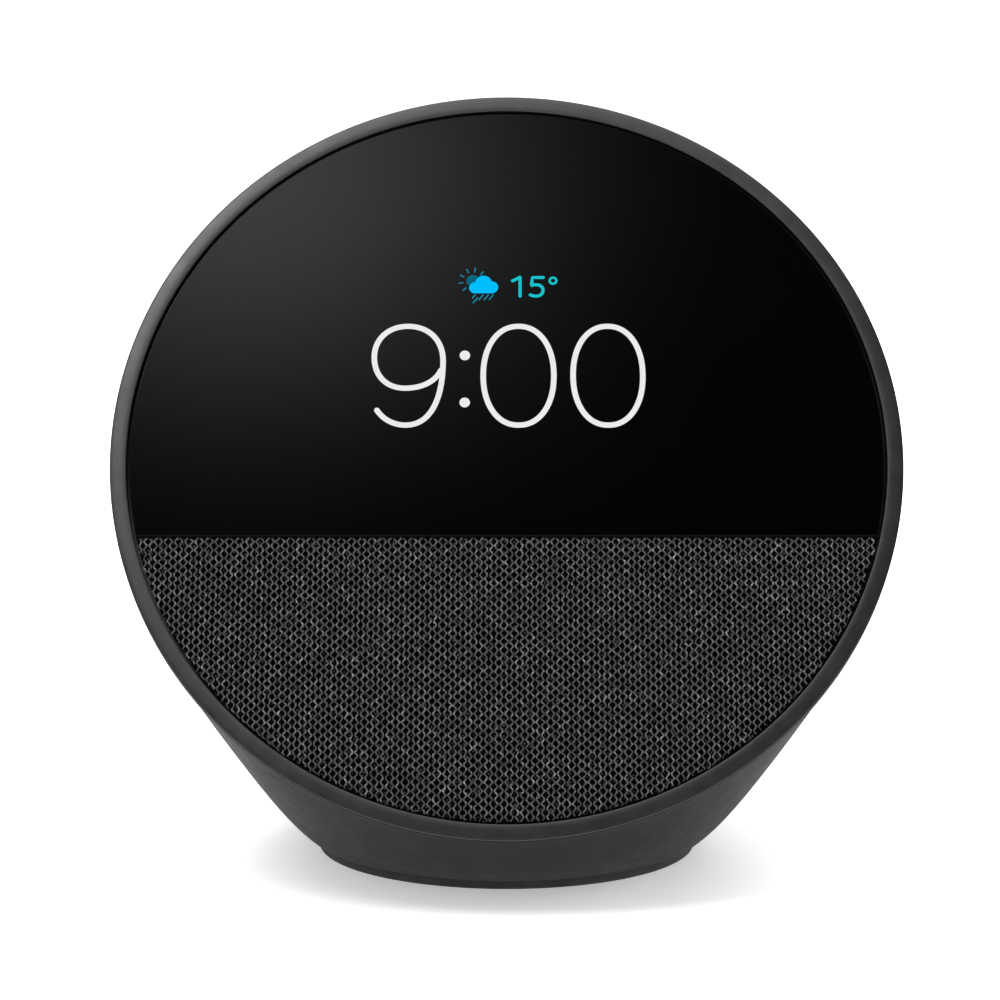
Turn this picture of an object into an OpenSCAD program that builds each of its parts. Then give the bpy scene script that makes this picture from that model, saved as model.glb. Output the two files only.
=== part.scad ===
// Smart display with a leaned round face, a domed body and a small round foot.
// Millimetres, +Z up. The origin is the centre of the foot's underside and the face looks along -Y.

/* [Overall] */
// Height from the table to the top of the ring
total_height = 111; // [105:0.5:118]
// Outer radius of the ring round the face
face_radius = 56.5; // [54:0.25:59]
// Lean of the face back from upright, in degrees
face_lean = 28.6; // [24:0.2:33]
// Place of the face's centre in front of the foot's centre
face_forward = 20.1; // [17:0.1:23]
// Radius of the foot
foot_radius = 28; // [26:0.2:30]
// Height of the foot
foot_height = 1.2; // [1:0.1:2]

/* [Face] */
// Width of the ring, seen from the front
ring_width = 2.35; // [2:0.05:3]
// Height above the face's centre of the line where glass meets cloth
split_height = -12.1; // [-14:0.1:-10]
// Thickness of the cover glass
glass_thick = 1.1; // [0.8:0.1:1.4]
// Thickness of the stretched cloth
cloth_thick = 0.5; // [0.3:0.1:0.8]
// Width of the display module
display_width = 63; // [58:1:64]
// Height of the display module
display_height = 47; // [44:1:47]

/* [Body] */
// How far the body's rim sits inside the ring's outer edge
rim_step = 0.5; // [0.3:0.1:0.9]
// Size of the hollow inside, as a share of the body
hollow_share = 0.96; // [0.95:0.005:0.97]
// Facets of the body round the face
body_sides = 64; // [48:8:80]
// Facets of the body from the rim to the foot
body_steps = 16; // [12:1:20]

/* [Keys] */
// Angle between neighbouring keys, about the face's axis
key_turn = 16; // [14:1:18]
// Place of the keys, from 0 at the rim to 1 at the foot
key_place = 0.11; // [0.1:0.01:0.14]
// Radius of a key
key_radius = 4.2; // [3.5:0.1:4.4]
// Travel of a key
key_travel = 0.5; // [0.3:0.05:0.5]

/* [Power inlet] */
// Height of the inlet above the table
port_height = 19; // [18:0.5:21]
// Radius of the recess for the plug's grip
port_radius = 5.6; // [5.2:0.1:5.8]

/* [Speaker] */
// Height of the loudspeaker's axis above the face's centre
speaker_height = -31; // [-31:0.5:-30]
// Outer radius of the loudspeaker
speaker_radius = 22; // [21:0.5:22]

/* [Hidden] */
$fn = 96;

// Face stack. Depths are along the face's axis, positive out of the face, 0 at the ring's edge.
face_z = total_height - face_radius * cos(face_lean);
ring_inner = face_radius - ring_width;
ring_back = -1.6;
ring_lip = 0.3;
skirt_outer = ring_inner + 0.45;
skirt_wall = 1.3;
skirt_back = -6;
pane_radius = ring_inner - 0.35;
stack_radius = ring_inner - 1.15;
pane_front = 0.1;
glass_back = pane_front - glass_thick;
sensor_back = glass_back - 0.25;
cloth_back = pane_front - cloth_thick;
plate_back = -2;
bracket_back = -3.8;
split_gap = 0.12;
tray_wall = 0.5;
display_up = 15.3;
panel_back = sensor_back - 1.3;
light_back = panel_back - 1.8;
tray_back = light_back - tray_wall;
tray_gap = 0.2;
tray_width = display_width + 2 * (tray_gap + tray_wall);
tray_height = display_height + 2 * (tray_gap + tray_wall);
window_gap = 0.55;
grille_hole = 0.8;
grille_pitch = 3;
grille_field = 17.2;

// Body outline. Each line from rim to foot is a cubic curve with one handle at each end.
rim_radius = face_radius - rim_step;
seat_radius = foot_radius + 0.2;
hollow_centre = [0, 2, 50];
face_out = [0, -cos(face_lean), sin(face_lean)];
face_up = [0, sin(face_lean), cos(face_lean)];
face_centre = [0, -face_forward, face_z];

function bezier(p, q, r, s, t) =
    pow(1 - t, 3) * p + 3 * pow(1 - t, 2) * t * q + 3 * (1 - t) * t * t * r + pow(t, 3) * s;

// Blends three values round the body: at the back, at the sides and at the front.
function around(turn, back, side, front) =
    side + (back - front) / 2 * cos(turn) + ((back + front) / 2 - side) * pow(cos(turn), 2);

// A point on the body: turn is the angle about the face's axis from its top, t runs rim to foot.
function body_point(turn, t) =
    let (
        spoke = [sin(turn), 0, 0] + cos(turn) * face_up,
        rim = face_centre + ring_back * face_out + rim_radius * spoke,
        lean_in = around(turn, -12, 1, 1),
        rim_way = -cos(lean_in) * face_out - sin(lean_in) * spoke,
        foot_spoke = [sin(turn), cos(turn), 0],
        foot = seat_radius * foot_spoke + [0, 0, foot_height],
        flare = around(turn, 32, 34, 15),
        foot_way = cos(flare) * foot_spoke + [0, 0, sin(flare)]
    )
    bezier(
        rim,
        rim + around(turn, 56, 19, 2) * rim_way,
        foot + around(turn, 51, 16, 14) * foot_way,
        foot,
        t
    );

function body_normal(turn, t) =
    let (
        round = body_point(turn + 0.05, t) - body_point(turn - 0.05, t),
        down = body_point(turn, t + 0.001) - body_point(turn, t - 0.001),
        way = cross(round, down)
    )
    way / norm(way);

// Keys, in frames that stand on the body's surface with +Z out of it.
wall_at_keys = 2.3;
key_hole_radius = key_radius + 0.3;
key_proud = 0.4;
key_flange_top = -wall_at_keys - 0.35;
key_flange_radius = 5.1;
key_flange_thick = 0.8;
mic_pad_back = -2.9;
key_stem_end = -4.7;
switch_top = key_stem_end - key_travel - 0.1;
switch_base = -6.4;
flex_back = -6.65;
key_bracket_back = -8.25;
key_turns = [-key_turn, 0, key_turn];
mic_turns = [-key_turn / 2, key_turn / 2];
ear_turn = 1.5 * key_turn;
pad_turns = [for (i = [-3:3]) i * key_turn / 2];
flex_turns = [for (i = [-2:2]) i * key_turn / 2];

// Screws and posts
pilot_radius = 0.85;
shank_radius = 0.8;
head_radius = 1.7;
head_thick = 1.1;
rim_boss_radius = 3.6;
rim_boss_from_axis = 50;
rim_boss_back = -13;
rim_boss_turns = [70, 115, 245, 290];
board_up = 10;
board_width = 80;
board_height = 32;
board_front = -15.8;
board_back = -17;
board_hole_x = 36.5;
board_hole_y = 11.5;
tab_back = board_back - 1;
spreader_front = -19;
spreader_back = -20.5;
chip_back = -18.3;
basket_front = -4.4;
speaker_screw_from_axis = 20.3;
speaker_screw_seat = -5.3;
floor_top = hollow_centre[2] - hollow_share * (hollow_centre[2] - foot_height);
base_plate_top = floor_top + 6;
base_screw_from_axis = 18;

// Power inlet, along Y
collar_radius = port_radius + 2;
collar_front = 33;
jack_front = 23;
jack_bore_radius = 3.1;
power_post_x = 11;
power_board_thick = 1.6;

module at_face() {
    translate(face_centre) rotate([90 - face_lean, 0, 0]) children();
}

module at_speaker() {
    at_face() translate([0, speaker_height, 0]) children();
}

module at_body(turn, t = key_place) {
    way = body_normal(turn, t);
    translate(body_point(turn, t)) rotate([-asin(way[1]), atan2(way[0], way[2]), 0]) children();
}

// A disc or block between two depths
module disc(radius, low, high) {
    translate([0, 0, low]) cylinder(r = radius, h = high - low);
}

module block(width, height, low, high) {
    translate([-width / 2, -height / 2, low]) cube([width, height, high - low]);
}

module tube(outer, inner, low, high) {
    difference() {
        disc(outer, low, high);
        disc(inner, low - 1, high + 1);
    }
}

// The part of a disc above or below the line where glass meets cloth
module upper_segment(radius, edge, low, high) {
    intersection() {
        disc(radius, low, high);
        translate([-radius, edge, low - 1]) cube([2 * radius, 2 * radius, high - low + 2]);
    }
}

module lower_segment(radius, edge, low, high) {
    intersection() {
        disc(radius, low, high);
        translate([-radius, edge - 2 * radius, low - 1])
            cube([2 * radius, 2 * radius, high - low + 2]);
    }
}

// A screw whose head's top is at 0 and whose shank points along -Z
module screw(length) {
    difference() {
        union() {
            disc(head_radius, -head_thick, 0);
            disc(shank_radius, -head_thick - length, -head_thick);
        }
        block(1.8, 0.4, -0.6, 1);
        block(0.4, 1.8, -0.6, 1);
    }
}

// A wire swept along one cubic curve, with eight sides
module wire(start, start_handle, end_handle, end, thick) {
    sides = 8;
    rings = 16;
    spot = function (t) bezier(start, start_handle, end_handle, end, t);
    points = [
        for (j = [0:rings])
            let (
                t = j / rings,
                way = spot(min(t + 0.01, 1)) - spot(max(t - 0.01, 0)),
                across = cross(way, [1, 0, 0]) / norm(cross(way, [1, 0, 0])),
                over = cross(way, across) / norm(way)
            )
            for (i = [0:sides - 1])
                spot(t) + thick / 2 * (cos(360 * i / sides) * across + sin(360 * i / sides) * over)
    ];
    corner = function (j, i) j * sides + i % sides;
    faces = [
        for (j = [0:rings - 1], i = [0:sides - 1], half = [0, 1])
            half == 0
                ? [corner(j, i), corner(j + 1, i + 1), corner(j, i + 1)]
                : [corner(j, i), corner(j + 1, i), corner(j + 1, i + 1)]
    ];
    first = [for (i = [0:sides - 1]) i];
    last = [for (i = [sides - 1:-1:0]) corner(rings, i)];
    polyhedron(points, concat([first], faces, [last]));
}

// A flat cable that follows straight runs in the plane of height and depth
module ribbon(path, width, thick) {
    rotate([90, 0, 90]) linear_extrude(width, center = true)
        for (i = [0:len(path) - 2]) {
            low = [for (k = [0, 1]) min(path[i][k], path[i + 1][k]) - thick / 2];
            size = [for (k = [0, 1]) abs(path[i][k] - path[i + 1][k]) + thick];
            translate(low) square(size);
        }
}

// The closed body, scaled about the hollow's centre
module body_solid(share, sides, steps) {
    points = [
        for (j = [0:steps], i = [0:sides - 1])
            hollow_centre + share * (body_point(360 * i / sides, j / steps) - hollow_centre)
    ];
    corner = function (j, i) j * sides + i % sides;
    faces = [
        for (j = [0:steps - 1], i = [0:sides - 1], half = [0, 1])
            half == 0
                ? [corner(j, i), corner(j + 1, i + 1), corner(j, i + 1)]
                : [corner(j, i), corner(j + 1, i), corner(j + 1, i + 1)]
    ];
    rim = [for (i = [0:sides - 1]) i];
    foot = [for (i = [sides - 1:-1:0]) corner(steps, i)];
    polyhedron(points, concat([rim], faces, [foot]));
}

module front_ring() {
    color("#4b4c4f") at_face() rotate_extrude() polygon([
        [ring_inner, ring_back],
        [ring_inner, ring_lip - 0.15],
        [ring_inner + 0.15, ring_lip],
        [face_radius - 0.4, 0.06],
        [face_radius, -0.3],
        [face_radius, ring_back + 0.2],
        [face_radius - 0.2, ring_back],
        [skirt_outer, ring_back],
        [skirt_outer, skirt_back],
        [skirt_outer - skirt_wall, skirt_back],
        [skirt_outer - skirt_wall, ring_back]
    ]);
}

module cover_glass() {
    color("#0a0a0c") at_face()
        upper_segment(pane_radius, split_height, glass_back, pane_front);
}

module touch_sensor() {
    color("#20242a") at_face()
        upper_segment(stack_radius, split_height + 0.4, sensor_back, glass_back);
}

module glass_gasket() {
    color("#161616") at_face() difference() {
        upper_segment(stack_radius, split_height + 0.4, plate_back, sensor_back);
        translate([0, display_up, 0])
            block(display_width + 0.6, display_height + 0.6, plate_back - 1, 0);
    }
}

module fabric_cover() {
    color("#2b2c2e") at_face()
        lower_segment(pane_radius, split_height - split_gap, cloth_back, pane_front);
}

module grille_plate() {
    rows = floor(grille_field / (grille_pitch * sin(60)));
    color("#1c1c1e") at_face() difference() {
        lower_segment(stack_radius, split_height - split_gap, plate_back, cloth_back);
        for (j = [-rows:rows], i = [-rows - 1:rows + 1]) {
            x = (i + (j % 2 == 0 ? 0 : 0.5)) * grille_pitch;
            y = j * grille_pitch * sin(60);
            if (norm([x, y]) < grille_field)
                translate([x, speaker_height + y, 0])
                    translate([0, 0, plate_back - 1])
                        cylinder(r = grille_hole, h = 4, $fn = 24);
        }
    }
}

module display_panel() {
    color("#101820") at_face() translate([0, display_up, 0])
        block(display_width, display_height, panel_back, sensor_back);
}

module display_backlight() {
    color("#e8ecef") at_face() translate([0, display_up, 0])
        block(display_width, display_height, light_back, panel_back);
}

module display_tray() {
    color("#9a9da0") at_face() translate([0, display_up, 0]) difference() {
        block(tray_width, tray_height, tray_back, panel_back + 0.5);
        block(tray_width - 2 * tray_wall, tray_height - 2 * tray_wall, light_back, 0);
    }
}

module front_bracket() {
    color("#2a2a2c") at_face() difference() {
        union() {
            disc(stack_radius + 0.1, bracket_back, plate_back);
            for (x = [-1, 1], y = [-1, 1])
                translate([x * board_hole_x, board_up + y * board_hole_y, 0])
                    disc(2.4, board_front, bracket_back);
        }
        translate([0, display_up, 0])
            block(tray_width + 2 * window_gap, tray_height + 2 * window_gap, -9, 0);
        translate([0, speaker_height, 0]) disc(speaker_radius - 4, -9, 0);
        for (turn = rim_boss_turns) rotate(-turn) translate([0, rim_boss_from_axis, 0]) {
            disc(1.1, -9, 0);
            disc(head_radius + 0.2, plate_back - 1.2, 0);
        }
        for (x = [-1, 1], y = [-1, 1])
            translate([x * board_hole_x, board_up + y * board_hole_y, 0])
                disc(pilot_radius, board_front - 1, board_front + 7);
        for (turn = [45:90:315]) translate([0, speaker_height, 0]) rotate(turn)
            translate([speaker_screw_from_axis, 0, 0]) disc(pilot_radius, -9, -2.6);
    }
}

module rear_shell() {
    color("#3a3b3d") difference() {
        union() {
            difference() {
                body_solid(1, body_sides, body_steps);
                body_solid(hollow_share, body_sides, body_steps);
            }
            intersection() {
                body_solid(0.995, body_sides, body_steps);
                union() {
                    at_face() for (turn = rim_boss_turns)
                        rotate(-turn) translate([0, rim_boss_from_axis, 0])
                            disc(rim_boss_radius, rim_boss_back, bracket_back);
                    for (side = [-1, 1]) at_body(side * ear_turn)
                        disc(2.2, switch_base - 0.2, -1);
                    for (turn = mic_turns) at_body(turn) disc(2.3, mic_pad_back, -1);
                    translate([0, collar_front, port_height]) rotate([-90, 0, 0])
                        disc(collar_radius, 0, 30);
                    for (side = [-1, 1])
                        translate([side * power_post_x, jack_front, port_height])
                            rotate([-90, 0, 0]) disc(2.3, 0, 40);
                }
            }
        }
        at_face() disc(skirt_outer + 0.1, skirt_back - 0.2, 1);
        at_face() for (turn = rim_boss_turns)
            rotate(-turn) translate([0, rim_boss_from_axis, 0])
                disc(pilot_radius, rim_boss_back + 1.5, 0);
        for (turn = key_turns) at_body(turn) {
            disc(key_hole_radius, -5, 2);
            disc(key_flange_radius + 0.2, -5, key_flange_top + 0.02);
        }
        for (turn = mic_turns) at_body(turn) disc(0.5, -5, 2);
        for (side = [-1, 1]) at_body(side * ear_turn) disc(pilot_radius, -9, -2.2);
        translate([0, 0, port_height]) rotate([-90, 0, 0])
            disc(port_radius, collar_front - 1, 70);
        for (side = [-1, 1])
            translate([side * power_post_x, jack_front - 1, port_height])
                rotate([-90, 0, 0]) disc(pilot_radius, 0, 9);
        for (turn = [90:120:330]) rotate(turn) translate([base_screw_from_axis, 0, 0]) {
            disc(shank_radius + 0.2, 0, 6);
            disc(head_radius + 0.2, 0, foot_height + head_thick);
        }
    }
}

module rubber_foot() {
    round = 0.4;
    color("#242425") rotate_extrude() union() {
        square([foot_radius - round, foot_height]);
        translate([0, round]) square([foot_radius, foot_height - round]);
        translate([foot_radius - round, round]) circle(round, $fn = 32);
    }
}

module base_plate() {
    color("#8d9094") difference() {
        disc(24, floor_top, base_plate_top);
        for (turn = [90:120:330]) rotate(turn) translate([base_screw_from_axis, 0, 0])
            disc(pilot_radius, 0, 20);
    }
}

module speaker_gasket() {
    color("#1a1a1a") at_speaker() difference() {
        tube(speaker_radius, speaker_radius - 3.5, basket_front, bracket_back);
        for (turn = [45:90:315]) rotate(turn) translate([speaker_screw_from_axis, 0, 0])
            disc(pilot_radius + 0.1, -9, 0);
    }
}

module speaker_basket() {
    color("#3d4045") at_speaker() difference() {
        rotate_extrude() polygon([
            [speaker_radius - 3.4, basket_front],
            [speaker_radius - 3.4, -6],
            [14.6, -12.4],
            [13.2, -12.4],
            [13.2, -14.2],
            [8, -14.2],
            [8, -15.2],
            [15.4, -15.2],
            [15.4, -12.8],
            [20, -5.4],
            [speaker_radius, -5.4],
            [speaker_radius, basket_front]
        ]);
        for (turn = [0:60:300]) rotate(turn) translate([17, 0, -9.2])
            rotate([0, 90, 0]) cylinder(r = 2.6, h = 12, center = true, $fn = 48);
        for (turn = [45:90:315]) rotate(turn) translate([speaker_screw_from_axis, 0, 0]) {
            disc(pilot_radius + 0.1, -9, 0);
            disc(head_radius + 0.15, -9, speaker_screw_seat);
        }
    }
}

module speaker_surround() {
    roll = 17.1;
    outer = 1.35;
    thick = 0.35;
    color("#202020") at_speaker() rotate_extrude() translate([roll, -5]) union() {
        intersection() {
            difference() {
                circle(outer);
                circle(outer - thick);
            }
            translate([-outer, 0]) square([2 * outer, outer]);
        }
        for (side = [-1, 1]) translate([side * (outer - thick / 2) - thick / 2, -thick])
            square([thick, thick]);
        translate([outer - thick, -thick]) square([0.15 + thick, thick]);
        translate([-outer - 0.1, -thick]) square([0.1 + thick, thick]);
    }
}

module speaker_cone() {
    color("#2d2f33") at_speaker() rotate_extrude() polygon([
        [15.6, -5],
        [15.6, -5.35],
        [14.6, -5.45],
        [5.4, -11.6],
        [5.4, -11],
        [14.4, -5]
    ]);
}

module speaker_dust_cap() {
    cap_radius = 7;
    centre_z = -15.47;
    color("#26282b") at_speaker() rotate_extrude() intersection() {
        difference() {
            translate([0, centre_z]) circle(cap_radius);
            translate([0, centre_z]) circle(cap_radius - 0.4);
        }
        translate([0, -10.95]) square([5.2, 5]);
    }
}

module speaker_spider() {
    inner = 5.35;
    outer = 13.2;
    steps = 48;
    wave = function (r) -12.2 + 0.35 * sin(360 * 4 * (r - inner) / (outer - inner));
    radii = [for (i = [0:steps]) inner + (outer - inner) * i / steps];
    color("#b58b4a") at_speaker() rotate_extrude() polygon(concat(
        [for (r = radii) [r, wave(r) + 0.2]],
        [[14.3, -12], [14.3, -12.4]],
        [for (i = [steps:-1:0]) [radii[i], wave(radii[i]) - 0.2]]
    ));
}

module speaker_voice_coil() {
    color("#b4682f") at_speaker() rotate_extrude() polygon([
        [4.85, -17.2],
        [5.3, -17.2],
        [5.3, -14.6],
        [5.1, -14.6],
        [5.1, -11],
        [4.85, -11]
    ]);
}

module speaker_top_plate() {
    color("#7e8286") at_speaker() tube(13.5, 5.65, -17, -15.2);
}

module speaker_magnet() {
    color("#3b3b3e") at_speaker() tube(14.5, 7.2, -22, -17);
}

module speaker_yoke() {
    color("#7e8286") at_speaker() union() {
        disc(13.5, -24, -22);
        disc(4.5, -22, -15.4);
    }
}

module main_board() {
    color("#1f5136") at_face() translate([0, board_up, 0]) difference() {
        block(board_width, board_height, board_back, board_front);
        for (x = [-1, 1], y = [-1, 1]) translate([x * board_hole_x, y * board_hole_y, 0])
            disc(shank_radius + 0.2, board_back - 1, board_front + 1);
    }
}

module board_chips() {
    color("#18191b") at_face() translate([0, board_up, 0]) {
        block(13, 13, chip_back, board_back);
        translate([0, 11.5, 0]) block(11, 7, board_back - 1, board_back);
        translate([0, -11.5, 0]) block(12, 7, board_back - 1, board_back);
        translate([-20, 0, 0]) block(8, 8, board_back - 1, board_back);
        translate([20, 2, 0]) block(6, 6, board_back - 1, board_back);
        translate([17, -5, 0]) block(3, 4, board_back - 1, board_back);
    }
}

module shield_cans() {
    color("#b9bcbf") at_face() translate([0, board_up, 0]) for (x = [-20, 20])
        translate([x, 0, 0]) difference() {
            block(15, 18, board_back - 1.8, board_back);
            block(14.4, 17.4, board_back - 1.5, board_back + 1);
        }
}

module thermal_pad() {
    color("#8fa3b5") at_face() translate([0, board_up, 0])
        block(13, 13, spreader_front, chip_back);
}

module heat_spreader() {
    color("#c3c6c9") at_face() translate([0, board_up, 0]) {
        difference() {
            union() {
                block(66, 28, spreader_back, spreader_front);
                for (side = [-1, 1]) {
                    translate([side * 32.5, 0, 0]) block(1, 28, spreader_back, board_back);
                    translate([side * 36, 0, 0]) block(7, 28, tab_back, board_back);
                }
            }
            for (x = [-1, 1], y = [-1, 1]) translate([x * board_hole_x, y * board_hole_y, 0])
                disc(shank_radius + 0.2, tab_back - 1, board_back + 1);
        }
        for (i = [-3:3]) translate([i * 8, 0, 0]) block(1, 26, spreader_back - 3, spreader_back);
    }
}

module board_connectors() {
    color("#e7e3d6") at_face() {
        translate([0, 4.1, 0]) block(16, 3, board_front, board_front + 2);
        translate([18, -3.5, 0]) block(6, 4, board_front, board_front + 2);
        translate([-18, -3.5, 0]) block(6, 4, board_front, board_front + 2);
        translate([0, 23.8, 0]) block(12, 4, board_front, board_front + 2);
    }
}

module wifi_antennas() {
    color("#c9a227") at_face() for (side = [-1, 1]) translate([side * 19, 42, 0])
        block(22, 0.8, bracket_back - 7, bracket_back);
}

module microphones() {
    color("#c8b27a") for (turn = mic_turns) at_body(turn)
        block(2.6, 3.4, switch_base, switch_base + 1);
}

module microphone_seals() {
    color("#151515") for (turn = mic_turns) at_body(turn)
        tube(1.9, 0.6, switch_base + 1, mic_pad_back);
}

module key(turn) {
    at_body(turn) {
        disc(key_radius - 0.3, key_proud - 0.3, key_proud);
        disc(key_radius, key_flange_top, key_proud - 0.3);
        disc(key_flange_radius, key_flange_top - key_flange_thick, key_flange_top);
        disc(1.4, key_stem_end, key_flange_top - key_flange_thick);
    }
}

module volume_down_button() {
    color("#3f4042") key(-key_turn);
}

module mute_button() {
    color("#3f4042") key(0);
}

module volume_up_button() {
    color("#3f4042") key(key_turn);
}

module key_bracket() {
    color("#2a2a2c") difference() {
        for (turn = pad_turns) at_body(turn) block(10, 11, key_bracket_back, flex_back);
        for (turn = flex_turns) at_body(turn) block(9.8, 10.4, flex_back, 0);
        for (side = [-1, 1]) at_body(side * ear_turn) disc(shank_radius + 0.2, -12, 0);
        at_face() translate([0, 51, 0]) block(9.6, 6, -14.2, -11);
    }
}

module key_flex() {
    color("#8a5a1c") for (turn = flex_turns) at_body(turn)
        block(9.4, 10, flex_back, switch_base);
}

module key_switches() {
    color("#d9d9d4") for (turn = key_turns) at_body(turn) {
        block(4.4, 4.4, switch_base, switch_top - 0.3);
        disc(1.1, switch_top - 0.3, switch_top);
    }
}

module power_jack() {
    color("#161617") translate([0, 0, port_height]) rotate([-90, 0, 0]) difference() {
        block(12, 12, jack_front, collar_front);
        disc(jack_bore_radius, jack_front + 1, collar_front + 1);
    }
}

module jack_pin() {
    color("#c9ccd0") translate([0, 0, port_height]) rotate([-90, 0, 0])
        disc(1, jack_front + 1, collar_front - 1);
}

module jack_contacts() {
    color("#c8a24a") translate([0, 0, port_height]) rotate([-90, 0, 0]) for (x = [-4, 0, 4])
        translate([x, 0, 0]) block(1.6, 0.5, jack_front - power_board_thick - 1.5, jack_front);
}

module power_board() {
    color("#1f5136") translate([0, 0, port_height]) rotate([-90, 0, 0]) difference() {
        block(28, 14, jack_front - power_board_thick, jack_front);
        for (side = [-1, 1]) translate([side * power_post_x, 0, 0])
            disc(shank_radius + 0.2, 0, 40);
        for (x = [-4, 0, 4]) translate([x, 0, 0]) block(1.7, 0.6, 0, 40);
    }
}

module bracket_screws() {
    color("#8b8e91") at_face() for (turn = rim_boss_turns)
        rotate(-turn) translate([0, rim_boss_from_axis, plate_back - 0.08]) screw(6);
}

module board_screws() {
    color("#8b8e91") at_face() for (x = [-1, 1], y = [-1, 1])
        translate([x * board_hole_x, board_up + y * board_hole_y, tab_back - head_thick])
            rotate([180, 0, 0]) screw(8);
}

module speaker_screws() {
    color("#8b8e91") at_speaker() for (turn = [45:90:315])
        rotate(turn) translate([speaker_screw_from_axis, 0, speaker_screw_seat - head_thick])
            rotate([180, 0, 0]) screw(2.6);
}

module base_screws() {
    color("#8b8e91") for (turn = [90:120:330])
        rotate(turn) translate([base_screw_from_axis, 0, foot_height])
            rotate([180, 0, 0]) screw(5.5);
}

module key_screws() {
    color("#8b8e91") for (side = [-1, 1]) at_body(side * ear_turn)
        translate([0, 0, key_bracket_back - head_thick]) rotate([180, 0, 0]) screw(4.4);
}

module power_screws() {
    color("#8b8e91") for (side = [-1, 1])
        translate([side * power_post_x, jack_front - power_board_thick - head_thick, port_height])
            rotate([90, 0, 0]) screw(6);
}

module display_ribbon() {
    color("#b5752a") at_face()
        ribbon([[14, tray_back - 0.1], [4, tray_back - 0.1], [4, board_front + 2.1]], 14, 0.2);
}

module key_ribbon() {
    color("#b5752a") at_face() ribbon([
        [51, -13.8],
        [51, -12.2],
        [30, -12.2],
        [30, board_front + 1],
        [25.9, board_front + 1]
    ], 9, 0.2);
}

module speaker_wires() {
    color("#b02a25") at_face() for (x = [0, 1.6])
        wire(
            [13.4 + x, -18, -14.6],
            [15 + x, -13, -14.2],
            [17.2 + x, -12, -14.8],
            [17.2 + x, -5.6, -14.8],
            1.1
        );
}

module power_wires() {
    color("#202022") for (x = [0, 1.8])
        wire(
            [-9 + x, 21.2, 23.5],
            [-12 + x, 8, 27],
            [-19 + x, -17, 33],
            [-18.9 + x, -9.9, 48.8],
            1.3
        );
}

front_ring();
cover_glass();
touch_sensor();
glass_gasket();
fabric_cover();
grille_plate();
display_panel();
display_backlight();
display_tray();
front_bracket();
rear_shell();
rubber_foot();
base_plate();
speaker_gasket();
speaker_basket();
speaker_surround();
speaker_cone();
speaker_dust_cap();
speaker_spider();
speaker_voice_coil();
speaker_top_plate();
speaker_magnet();
speaker_yoke();
main_board();
board_chips();
shield_cans();
thermal_pad();
heat_spreader();
board_connectors();
wifi_antennas();
microphones();
microphone_seals();
volume_down_button();
mute_button();
volume_up_button();
key_bracket();
key_flex();
key_switches();
power_jack();
jack_pin();
jack_contacts();
power_board();
bracket_screws();
board_screws();
speaker_screws();
base_screws();
key_screws();
power_screws();
display_ribbon();
key_ribbon();
speaker_wires();
power_wires();
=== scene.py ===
"""Looks of a round smart display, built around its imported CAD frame. Metres, +Z up, front towards -Y."""

import math
import random

import bpy
import numpy as np
from mathutils import Matrix, Vector


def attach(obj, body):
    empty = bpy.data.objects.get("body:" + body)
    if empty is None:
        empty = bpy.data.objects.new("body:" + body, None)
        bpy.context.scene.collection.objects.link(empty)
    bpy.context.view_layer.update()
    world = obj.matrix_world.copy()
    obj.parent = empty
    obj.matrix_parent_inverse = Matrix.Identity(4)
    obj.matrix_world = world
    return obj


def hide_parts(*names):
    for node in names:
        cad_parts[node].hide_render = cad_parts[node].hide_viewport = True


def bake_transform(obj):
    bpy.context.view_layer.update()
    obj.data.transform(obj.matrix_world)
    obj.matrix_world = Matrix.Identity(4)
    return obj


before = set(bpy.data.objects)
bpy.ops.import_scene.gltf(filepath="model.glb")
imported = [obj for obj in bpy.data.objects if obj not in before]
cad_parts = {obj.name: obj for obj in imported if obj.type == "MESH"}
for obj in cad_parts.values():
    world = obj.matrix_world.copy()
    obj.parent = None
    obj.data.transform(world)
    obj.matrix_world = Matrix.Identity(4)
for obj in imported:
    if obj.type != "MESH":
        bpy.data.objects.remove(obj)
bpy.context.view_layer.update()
random.seed(58)
noise_maker = np.random.default_rng(58)

MM = 0.001
CASING = "casing"

# Driving dimensions, in millimetres and degrees, as the CAD model has them
LEAN = math.radians(28.6)
FACE_CENTRE = Vector((0, -20.1, 61.394))
FACE_OUT = Vector((0, -math.cos(LEAN), math.sin(LEAN)))
FACE_UP = Vector((0, math.sin(LEAN), math.cos(LEAN)))
ACROSS = Vector((1, 0, 0))
RING_OUTER = 56.5
RING_INNER = 54.15
RING_BACK = -1.6
SKIRT_BACK = -6
PANE_RADIUS = 53.8
PANE_FRONT = 0.1
GLASS_BACK = -1.0
SPLIT_HEIGHT = -12.1
SPLIT_GAP = 0.12
RIM_RADIUS = 56.0
FOOT_RADIUS = 28.2
FOOT_HEIGHT = 1.2
HOLLOW_CENTRE = Vector((0, 2, 50))
HOLLOW_SHARE = 0.96
KEY_TURN = 16
KEY_PLACE = 0.11
KEY_RADIUS = 4.2
KEY_HOLE_RADIUS = 4.5
KEY_PROUD = 0.4
KEY_FLANGE_TOP = -2.65
KEY_FLANGE_RADIUS = 5.1
MIC_TURN = 8
EAR_TURN = 24
PORT_HEIGHT = 19
PORT_RADIUS = 5.6
COLLAR_FRONT = 33
JACK_FRONT = 23
POST_X = 11
BOSS_TURNS = (70, 115, 245, 290)
BASE_SCREW_TURNS = (90, 210, 330)


# ---------------------------------------------------------------- meshes


def add_mesh(name, points, faces, body=CASING, sharp=30):
    """A mesh object from points in millimetres, smooth except where faces meet at more than sharp degrees."""
    mesh = bpy.data.meshes.new(name)
    mesh.from_pydata([tuple(c * MM for c in p) for p in points], [], faces)
    mesh.update()
    piece = bpy.data.objects.new(name, mesh)
    bpy.context.scene.collection.objects.link(piece)
    smooth(mesh, sharp)
    if body:
        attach(piece, body)
    return piece


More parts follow.
